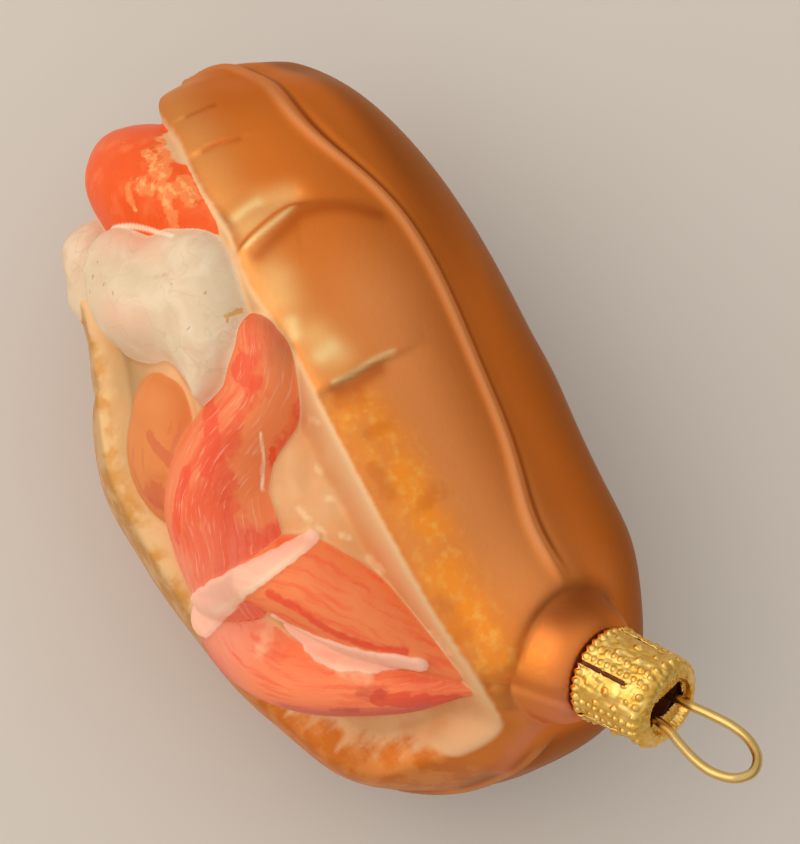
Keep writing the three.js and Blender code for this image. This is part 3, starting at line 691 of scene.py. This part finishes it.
def cap_profile():
    """The plain cap, over its shoulder to the middle: distance up from the rim, radius and height."""
    corner = np.linspace(0, np.pi / 2, 16)
    top = CAP_RADIUS - CAP_TAPER
    edge = CAP_HEIGHT - CROWN_DROP
    radius = np.concatenate([[CAP_RADIUS], top - CAP_SHOULDER * (1 - np.cos(corner)), [CROWN_RADIUS, 0.02]])
    height = np.concatenate([[0.0], edge - CAP_SHOULDER * (1 - np.sin(corner)), [edge - CROWN_DIP] * 2])
    travelled = running_total(np.hypot(np.diff(radius), np.diff(height)))
    even = np.linspace(0, travelled[-1], CAP_ROWS)[:, None]
    return even, np.interp(even, travelled, radius), np.interp(even, travelled, height)


def cap_beads():
    """Places of the stamped beads: (turn in radians, millimetres up from the rim, radius, height)."""
    random = np.random.default_rng(BEAD_SEED)
    beads = [(turn, *RIM_BEAD) for turn in full_turn(RIM_BEADS)]
    beads += [(turn + np.pi / TOP_BEADS, *TOP_BEAD) for turn in full_turn(TOP_BEADS)]
    panel = 2 * np.pi / CAP_SLITS
    for i in range(CAP_SLITS):
        middle = (i + 0.5) * panel
        for up in SIDE_BEADS_UP:
            for side in (-1, 1):
                beads.append((middle + side * SIDE_BEADS_TURN * panel, up, *SIDE_BEAD))
        for share, up, size in FIGURE_BEADS:
            turn = middle + share * panel * FIGURE_WIDTH + random.normal(0, FIGURE_TURN_WANDER)
            beads.append((turn, up + random.normal(0, FIGURE_UP_WANDER), size, FIGURE_RISE * size))
    return beads


def cap_relief(turn, up):
    """Height of the beads and the grain at each turn and distance up from the rim."""
    height = np.zeros(np.broadcast(turn, up).shape)
    for bead_turn, bead_up, size, rise in cap_beads():
        gap = (turn - bead_turn + np.pi) % (2 * np.pi) - np.pi
        share = np.hypot(gap * CAP_RADIUS, up - bead_up) / size
        height = np.maximum(height, rise * np.sqrt(np.maximum(0, 1 - share**2)))
    points = ring_points(CAP_RADIUS, turn, up)
    grain = sum(rise * ripple(points, size, seed) for rise, size, seed in CAP_GRAIN)
    return height + grain * smooth(0.1, 0.5, up)


def slot_edge(turn):
    """How far the slot's outline is from the middle of the cap's top."""
    along, across = np.abs(np.cos(turn)) + 1e-9, np.abs(np.sin(turn)) + 1e-9
    return np.minimum(SLOT_LENGTH / 2 / along, SLOT_WIDTH / 2 / across)


def make_cap():
    up, radius, z = cap_profile()
    turn = full_turn(CAP_COLUMNS)
    lift = cap_relief(turn, up)
    wall = smooth(CAP_FLAT_RADIUS, CAP_RADIUS - CAP_TAPER, radius)
    scallop = SCALLOP * np.cos(RIM_BEADS * turn) * smooth(SCALLOP_TOP, 0, up)
    on_top = np.minimum(radius / CAP_FLAT_RADIUS, 1)
    slot = slot_edge(turn)
    plain = np.where(radius < CAP_FLAT_RADIUS, slot + (CAP_FLAT_RADIUS - slot) * on_top, radius)
    points = ring_points(plain + lift * wall, turn, z + lift * (1 - wall) - scallop)
    panel = 2 * np.pi / CAP_SLITS
    slit_turn = turn + np.pi / CAP_COLUMNS - np.radians(SLIT_TURN)
    off_slit = np.abs((slit_turn + panel / 2) % panel - panel / 2) * CAP_RADIUS
    in_slit = (off_slit < SLIT_WIDTH / 2) & (up[:-1] < SLIT_LENGTH)
    faces = [face for face, cut in zip(grid_faces(CAP_ROWS, CAP_COLUMNS), in_slit.ravel()) if not cut]
    cap = add_mesh("stamped_cap", neck_to_row(points, LOOP_TURN), faces)
    solidify = cap.modifiers.new("shell", "SOLIDIFY")
    solidify.thickness = CAP_SHELL * MM
    solidify.offset = -1
    bake_modifiers(cap)
    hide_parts("metal_cap")
    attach(cap, "root")
    return cap


def bake_modifiers(piece):
    """Replaces a piece's mesh by what its modifiers make of it."""
    bpy.context.view_layer.update()
    evaluated = piece.evaluated_get(bpy.context.evaluated_depsgraph_get())
    mesh = bpy.data.meshes.new_from_object(evaluated)
    piece.modifiers.clear()
    piece.data = mesh


# ---- wire loop ----
# One half of the wire's shape: (sideways, millimetres up from the top of the cap).
LOOP_HALF = [(1.7, -LEG_DEPTH), (1.75, -2), (1.95, 1), (2.5, 3.4), (2.95, 6.2), (2.8, 8.7), (1.8, 10.8)]
LOOP_STEPS, WIRE_SIDES = 14, 24


def loop_path():
    path = np.array(LOOP_HALF + [(0, LOOP_REACH)] + [(-x, z) for x, z in reversed(LOOP_HALF)])
    lean = LOOP_PUSH + LOOP_LEAN * np.maximum(path[:, 1:], 0) / LOOP_REACH
    points = np.column_stack([path[:, 0] + lean[:, 0], lean[:, 1], CAP_HEIGHT + path[:, 1]])
    return catmull(points, LOOP_STEPS)


def tube(path, radius, sides):
    """Points of a round tube along a path that lies in the XZ plane, with closed ends."""
    tangent = np.gradient(path, axis=0)
    tangent /= norm(tangent, axis=1, keepdims=True)
    across = np.array([0, 1, 0])
    other = np.cross(tangent, across)
    turn = full_turn(sides)[None, :, None]
    ring = path[:, None] + radius * (np.cos(turn) * other[:, None] + np.sin(turn) * across)
    start = np.repeat(path[:1, None], sides, 1)
    end = np.repeat(path[-1:, None], sides, 1)
    return np.concatenate([start, ring, end])


def make_loop():
    points = tube(loop_path(), WIRE_RADIUS, WIRE_SIDES)
    faces = [face[::-1] for face in grid_faces(*points.shape[:2])]
    loop = add_mesh("wire_loop", neck_to_row(points, LOOP_TURN), faces)
    merge_doubles(loop)
    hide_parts("hanger_loop")
    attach(loop, "root")
    return loop


def merge_doubles(piece):
    """Merges the points that fall together where a grid closes to a point."""
    mesh = bmesh.new()
    mesh.from_mesh(piece.data)
    bmesh.ops.remove_doubles(mesh, verts=mesh.verts, dist=1e-6)
    bmesh.ops.dissolve_degenerate(mesh, edges=mesh.edges, dist=1e-7)
    mesh.to_mesh(piece.data)
    mesh.free()


# ---- materials ----
def linear(red, green, blue):
    """A colour given as 0 to 255 in sRGB, as Blender's linear values."""
    value = np.array([red, green, blue]) / 255
    value = np.where(value <= 0.04045, value / 12.92, ((value + 0.055) / 1.055) ** 2.4)
    return (*value.tolist(), 1.0)


class Nodes:
    """Short calls for building the node tree of a material or world."""

    def __init__(self, owner):
        owner.use_nodes = True
        self.owner = owner
        self.tree = owner.node_tree
        self.coordinates = self.add("TexCoord").outputs

    def fill(self, node, inputs):
        """Links or sets a node's inputs. A string as a value stands for the mask of that name."""
        for key, value in inputs.items():
            if isinstance(value, str):
                value = self.mask(value)
            if isinstance(value, bpy.types.NodeSocket):
                self.tree.links.new(value, node.inputs[key])
            else:
                node.inputs[key].default_value = value
        return node

    def add(self, kind, inputs=None):
        return self.fill(self.tree.nodes.new("ShaderNode" + kind), inputs or {})

    def mask(self, name):
        node = self.add("Attribute")
        node.attribute_name = name
        return node.outputs["Fac"]

    def math(self, operation, a, b=0.0):
        node = self.add("Math", {0: a, 1: b})
        node.operation = operation
        return node.outputs[0]

    def times(self, a, b):
        return self.math("MULTIPLY", a, b)

    def plus(self, a, b):
        return self.math("ADD", a, b)

    def about_zero(self, noise, amount):
        """Noise from 0 to 1 as unevenness on both sides of 0."""
        return self.times(self.math("SUBTRACT", noise, 0.5), amount)

    def step(self, value, low, high):
        """0 below low and 1 above high, smooth between; falling if low is above high."""
        node = self.add("MapRange", {
            "Value": value,
            "From Min": min(low, high),
            "From Max": max(low, high),
            "To Min": 0.0 if low < high else 1.0,
            "To Max": 1.0 if low < high else 0.0,
        })
        node.interpolation_type = "SMOOTHSTEP"
        return node.outputs[0]

    def noise(self, size, detail=2.0, vector=None, distortion=0.0):
        """Noise from 0 to 1, about `size` mm across, or `size` units of the given vector."""
        node = self.add("TexNoise", {
            "Vector": self.coordinates["Object"] if vector is None else vector,
            "Scale": 1 / (size * MM) if vector is None else 1 / size,
            "Detail": detail,
            "Distortion": distortion,
        })
        return node.outputs["Fac"]

    def vector(self, x, y, z=0.0):
        return self.add("CombineXYZ", {0: x, 1: y, 2: z}).outputs[0]

    def mix(self, share, a, b):
        """Mixes two colours, each a socket or (red, green, blue) from 0 to 255."""
        a, b = (linear(*colour) if isinstance(colour, tuple) else colour for colour in (a, b))
        node = self.add("Mix")
        node.data_type = "RGBA"
        return self.fill(node, {0: share, 6: a, 7: b}).outputs[2]

    def blend(self, share, a, b):
        """Mixes two numbers, either of which may be a socket."""
        node = self.add("Mix")
        node.data_type = "FLOAT"
        return self.fill(node, {0: share, 2: a, 3: b}).outputs[0]

    def layers(self, colour, *coats):
        """Lays coats of (share, strength, paint) over a colour, the last one on top."""
        for share, strength, paint in coats:
            colour = self.mix(self.times(share, strength), colour, paint)
        return colour

    def bump(self, height, strength, distance):
        inputs = {"Strength": strength, "Distance": distance * MM, "Height": height}
        return self.add("Bump", inputs).outputs[0]

    def ragged(self, name, size, amount=1.2, low=0.35, high=0.6):
        """A painted zone with an uneven edge."""
        wander = self.about_zero(self.noise(size, 4), amount)
        return self.step(self.plus(name, wander), low, high)

    def finish(self, colour, roughness, metallic, more=None):
        """Fills in the shader, with any more inputs by name, and gives back the material."""
        inputs = {"Base Color": colour, "Roughness": roughness, "Metallic": metallic} | (more or {})
        self.fill(self.tree.nodes["Principled BSDF"], inputs)
        return self.owner


def crust_paint(n):
    """Golden-brown lacquer over silvered glass, with painted highlights at the lips and painted shade
    behind.
    """
    mustard = n.mix(n.step(n.noise(2.6, 4), 0.4, 0.62), (200, 142, 72), (216, 176, 122))
    bottom = n.mix(n.step(n.noise(2.2, 4), 0.4, 0.62), (204, 108, 32), (218, 132, 62))
    cloud = n.step(n.plus(n.noise(3.2, 5), n.times("gold", 0.16)), 0.42, 0.7)
    speckle = n.times("gold", n.step(n.noise(1.3, 5), 0.46, 0.78))
    # Where the seam's groove and ridge lie, for painted shade in the groove and a painted highlight on the
    # ridge.
    groove = n.times(n.step("seam", -1.9, -1.2), n.step("seam", -0.7, -1.1))
    ridge_highlight = n.times(n.step("seam", -0.9, 0.1), n.step("seam", 1.3, 0.4))
    return n.layers(
        n.mix(n.noise(9, 3), (228, 126, 46), (218, 114, 38)),
        # A broad painted highlight across the crust.
        ("broad_highlight", 0.6, (242, 158, 92)),
        # Painted shade on the back of the crust.
        ("shade_behind", 0.75, (190, 98, 16)),
        # Painted highlight at the lips.
        ("lip_highlight", 0.6, (240, 168, 96)),
        ("lower", 0.95, n.mix(n.step("body_x", 14.0, 26.0), mustard, bottom)),
        # Deeper painted shade further round the back and at the near pole.
        ("deep_shade_behind", 0.7, (136, 62, 6)),
        # Mottled gold paint with a painted highlight in it, and lighter speckles.
        ("gold", n.blend(cloud, 0.35, 1.0), (255, 150, 46)),
        (speckle, 0.65, (255, 190, 92)),
        (n.ragged("bruise", 2.0, 1.6, 0.2, 1.1), 0.35, (204, 96, 20)),
        # Painted highlights in the dents, painted shade below the creases, and a brighter painted highlight
        # along them.
        ("dent_highlight", 0.65, (254, 196, 122)),
        ("shade", 0.6, (180, 76, 14)),
        ("shine", 0.8, (255, 214, 146)),
        # Painted shade in the groove beside the seam, and a painted highlight on its ridge.
        (n.times(groove, "seam_shows"), 0.6, (116, 48, 4)),
        (n.times(ridge_highlight, "seam_shows"), 0.55, (232, 156, 100)),
        # Pink at the neck's foot, partly a painted pink reflection.
        ("rose", 0.7, (226, 138, 104)),
        ("neck_warm", 0.7, (218, 82, 6)),
        # Painted shade in the moat beside the neck.
        ("neck_foot_shade", 0.7, (124, 48, 6)),
    )


def crumb_paint(n):
    """Pearly champagne lacquer, paler at its edge."""
    return n.layers(
        n.mix(n.step(n.noise(6, 3), 0.35, 0.65), (222, 154, 96), (228, 172, 120)),
        (n.step("opening", 3.2, 0.4), 1.0, (232, 184, 132)),
        ("beige", 0.85, (184, 150, 100)),
        ("near_end", 0.25, (216, 136, 88)),
        # Painted glints on the pearly lacquer.
        (n.ragged("pearl_glint", 1.2, 1.8, 0.2, 1.2), 0.45, (252, 222, 172)),
    )


def white_paint(n):
    """Matte cream-white with pinkish washes and small grey specks."""
    creases = n.math("ABSOLUTE", n.about_zero(n.noise(5, 2, distortion=0.5), 1.0))
    return n.layers(
        n.mix(n.step(n.noise(7, 3), 0.42, 0.62), (224, 198, 162), (222, 188, 154)),
        # Lighter cream patches, partly painted glints.
        (n.step(n.noise(4.0, 4, distortion=0.8), 0.44, 0.7), 0.5, (242, 220, 188)),
        ("wash", 0.6, (238, 184, 152)),
        (n.step(creases, 0.015, 0.0), 0.25, (196, 170, 130)),
        (n.ragged("brown", 0.6), 0.85, (214, 156, 74)),
        (n.ragged("fleck", 0.4), 0.6, (150, 140, 104)),
    )


def streaks(n, along_size, side_size, detail=3.0, seed=0.0):
    """Brush streaks that run along the filling's lobes."""
    along = n.times("along", 1 / along_size)
    side = n.times("side", 1 / side_size)
    wobble = n.times(n.noise(3, 2), 1.6)
    return n.noise(1.0, detail, vector=n.vector(along, n.plus(side, wobble), seed))


def leaning(n, streak, name, slope):
    """Streaks that grow or fade along a mask in millimetres."""
    return n.plus(streak, n.times(name, slope))


def claw_paint(n):
    """Orange ground with coral and red strokes brushed along the claw."""
    coral = leaning(n, streaks(n, 7, 1.0), "side", -0.05)
    red = leaning(n, streaks(n, 5, 0.4, 4, 4.0), "side", -0.03)
    pink = n.plus(streaks(n, 6, 0.7, 4, 11.0), n.step("along", 16.0, 36.0))
    pale = streaks(n, 3, 0.28, 3, 9.0)
    return n.layers(
        n.mix(n.noise(4, 2), (240, 120, 70), (244, 136, 90)),
        (n.step(coral, 0.36, 0.56), 0.85, (238, 92, 56)),
        (n.ragged("red", 1.4), 0.75, (238, 80, 50)),
        (n.step(red, 0.56, 0.7), 0.6, (234, 84, 60)),
        (n.ragged("orange_side", 1.8, 1.4, 0.2, 0.8), 0.8, (248, 142, 82)),
        (n.step(pink, 0.6, 1.2), 0.45, (248, 148, 120)),
        (n.step(pale, 0.56, 0.7), 0.5, (252, 172, 140)),
        ("tip_shade", 0.7, (206, 118, 74)),
        (n.ragged("red_line", 0.8), 0.85, (240, 84, 34)),
    )


def lower_claw_paint(n):
    """Rose and coral strokes on the lower finger, darkest along its lower edge."""
    red = leaning(n, streaks(n, 6, 0.9, 4, 2.0), "along", 0.004)
    return n.layers(
        n.mix(n.noise(4, 3), (250, 140, 88), (246, 124, 80)),
        (n.step("along", 12.0, 2.0), 0.75, (240, 148, 120)),
        (n.step(red, 0.52, 0.7), 0.6, (238, 96, 62)),
        (n.ragged("finger_red", 1.2), 0.8, (228, 78, 50)),
        ("rose_edge", 0.75, (204, 86, 82)),
        (n.ragged("dark_red", 0.9, 1.2, 0.2, 1.0), 0.5, (186, 66, 48)),
        (n.ragged("cream", 0.9, 1.2, 0.2, 1.1), 0.55, (252, 196, 152)),
    )


def upper_claw_paint(n):
    """Orange upper finger with red strokes."""
    return n.layers(
        n.mix(n.noise(3, 3), (242, 124, 70), (246, 138, 84)),
        (n.step(streaks(n, 5, 0.9, 4, 6.0), 0.46, 0.64), 0.75, (244, 102, 62)),
        (n.ragged("finger_red", 1.2, 1.4, 0.2, 0.9), 0.8, (232, 70, 44)),
    )


def orange_paint(n):
    """Strong red-orange with patches rubbed through to peach."""
    return n.layers(
        n.mix(n.noise(3.5, 3), (236, 74, 6), (244, 96, 26)),
        (n.step(n.noise(2.6, 4), 0.5, 0.7), 0.6, (246, 116, 60)),
        (n.ragged("peach", 1.4, 2.4, 0.35, 0.75), 0.75, (246, 138, 74)),
        (n.ragged("peach", 0.8, 3.4, 0.8, 1.4), 0.7, (252, 180, 108)),
        (n.ragged("bare", 1.6, 0.8), 0.9, (230, 182, 132)),
    )


def hidden_paint(n):
    """Orange-brown of the piece behind the claw."""
    shade = leaning(n, streaks(n, 5, 1.0, 3, 3.0), "along", 0.012)
    return n.layers(
        n.mix(n.noise(4, 2), (228, 140, 76), (222, 128, 68)),
        (n.step(shade, 0.58, 0.74), 0.7, (212, 112, 74)),
        (n.ragged("hidden_shade", 1.2), 0.6, (206, 98, 62)),
    )


def stroke_paint(n):
    """Pale pink of the thick strokes."""
    ground = n.mix(streaks(n, 4, 0.6, 3, 5.0), (252, 178, 150), (254, 200, 170))
    return n.layers(ground, ("cream", 0.7, (250, 214, 176)))


# The filling's pieces and strokes, each over the one before: its mask, paint and roughness.
FILLING_PAINTS = [
    ("white_low", white_paint, 0.5), ("hidden", hidden_paint, 0.5), ("orange", orange_paint, 0.42),
    ("white", white_paint, 0.5), ("claw", claw_paint, 0.5),
    ("upper_finger", upper_claw_paint, 0.5), ("lower_finger", lower_claw_paint, 0.5),
    ("stripe", stroke_paint, 0.55), ("band", stroke_paint, 0.55),
]
FILLING_EDGE, FILLING_RAGGED = 0.12, 0.25


def glass_material():
    n = Nodes(bpy.data.materials.new("lacquered_glass_roll"))
    fine = n.about_zero(n.noise(0.9, 3), FILLING_RAGGED)
    along_edge = n.vector(n.times("body_x", 0.9), n.times("opening", 0.3))
    teeth = n.about_zero(n.noise(1.0, 4, vector=along_edge), n.blend("low_edge", 0.6, 5.0))
    mottle = n.about_zero(n.noise(2.0, 4), 4.0)
    browning = n.times("browned", n.math("SUBTRACT", mottle, 3.0))
    edge = n.plus("opening", n.plus(teeth, browning))
    soft_edge = n.blend("browned", 0.35, 1.2)
    inside = n.step(n.math("DIVIDE", edge, soft_edge), -1.0, 1.0)
    colour = n.mix(inside, crust_paint(n), crumb_paint(n))
    roughness = n.blend(inside, 0.4, 0.5)
    satin = n.math("MAXIMUM", n.times("gold", 0.5), n.times("lower", 0.8))
    metallic = n.blend(inside, n.blend(satin, 0.95, 0.3), 0.3)
    for name, paint, rough in FILLING_PAINTS:
        share = n.step(n.plus(name, fine), -FILLING_EDGE, FILLING_EDGE)
        colour = n.mix(share, colour, paint(n))
        roughness = n.blend(share, roughness, rough)
        metallic = n.blend(share, metallic, 0.0)
    # Painted highlight lines over the filling.
    colour = n.layers(colour, (n.step("highlight_line", 0.2, 0.8), 0.8, (255, 234, 200)))
    brushwork = n.plus(n.times(streaks(n, 6, 0.35, 3, 1.0), 0.6), n.noise(0.6, 3))
    return n.finish(colour, roughness, metallic, {
        "Normal": n.bump(brushwork, 0.25, 0.08),
        "Specular IOR Level": 0.3,
        "Specular Tint": (1.0, 0.78, 0.55, 1.0),
        "Coat Weight": 0.05,
        "Coat Roughness": 0.25,
    })


def neck_material():
    n = Nodes(bpy.data.materials.new("dark_neck_glass"))
    return n.finish(n.mix(n.noise(2, 3), (150, 70, 20), (120, 52, 14)), 0.4, 0.3)


def cap_material():
    n = Nodes(bpy.data.materials.new("gold_stamping"))
    colour = n.mix(n.step(n.noise(1.2, 4), 0.35, 0.7), (228, 176, 76), (246, 206, 116))
    grain = n.bump(n.noise(0.35, 3), 0.25, 0.05)
    return n.finish(colour, n.blend(n.noise(0.8, 3), 0.22, 0.36), 1.0, {"Normal": grain})


def wire_material():
    n = Nodes(bpy.data.materials.new("pale_gold_wire"))
    colour = n.mix(n.noise(2.5, 3), (206, 168, 92), (226, 196, 128))
    grain = n.bump(n.noise(0.5, 2), 0.15, 0.05)
    return n.finish(colour, n.blend(n.noise(1.5, 2), 0.18, 0.3), 1.0, {"Normal": grain})


def floor_material():
    n = Nodes(bpy.data.materials.new("pale_floor"))
    return n.finish(n.mix(n.noise(40, 2), (212, 204, 192), (208, 198, 186)), 0.75, 0.0)


# ---- floor and light ----
FLOOR_HALF = 3.0
SKY_COLOUR = (240, 238, 236)
SKY_SIDE = (-0.3, -0.45, 1.0)
SKY_RANGE = {"From Min": -0.5, "From Max": 0.6, "To Min": 0.17, "To Max": 1.0}
WINDOW_SIDE = (-0.46, -0.66, 0.8)
KEY_DISTANCE, KEY_SIZE, KEY_POWER, KEY_COLOUR = 0.8, 0.9, 2.4, (255, 248, 238)


def make_floor():
    corners = np.array([(-1, -1, 0), (1, -1, 0), (1, 1, 0), (-1, 1, 0)]) * FLOOR_HALF
    floor = add_mesh("floor", corners, [(0, 1, 2, 3)])
    floor.data.materials.append(floor_material())


def make_key_light():
    """A square soft light that shines at the object from the window's side."""
    data = bpy.data.lights.new("key", "AREA")
    data.size = KEY_SIZE
    data.energy = KEY_POWER
    data.color = linear(*KEY_COLOUR)[:3]
    light = add_object("key", data)
    towards = Vector(WINDOW_SIDE).normalized()
    light.location = towards * KEY_DISTANCE
    light.rotation_euler = towards.to_track_quat("Z", "Y").to_euler()


def make_sky():
    """Even light from all round, brighter on one side."""
    world = bpy.data.worlds.new("studio")
    n = Nodes(world)
    facing = n.add("VectorMath", {0: n.coordinates["Generated"], 1: Vector(SKY_SIDE).normalized()})
    facing.operation = "DOT_PRODUCT"
    brightness = n.add("MapRange", {"Value": facing.outputs["Value"]} | SKY_RANGE).outputs[0]
    n.fill(n.tree.nodes["Background"], {"Color": linear(*SKY_COLOUR), "Strength": brightness})
    bpy.context.scene.world = world


# ---- build ----
make_camera()
bpy.context.scene.view_settings.view_transform = "Standard"
for make, material in (
    (make_glass, glass_material),
    (make_neck, neck_material),
    (make_cap, cap_material),
    (make_loop, wire_material),
):
    materials = make().data.materials
    materials.clear()
    materials.append(material())
make_floor()
make_sky()
make_key_light()
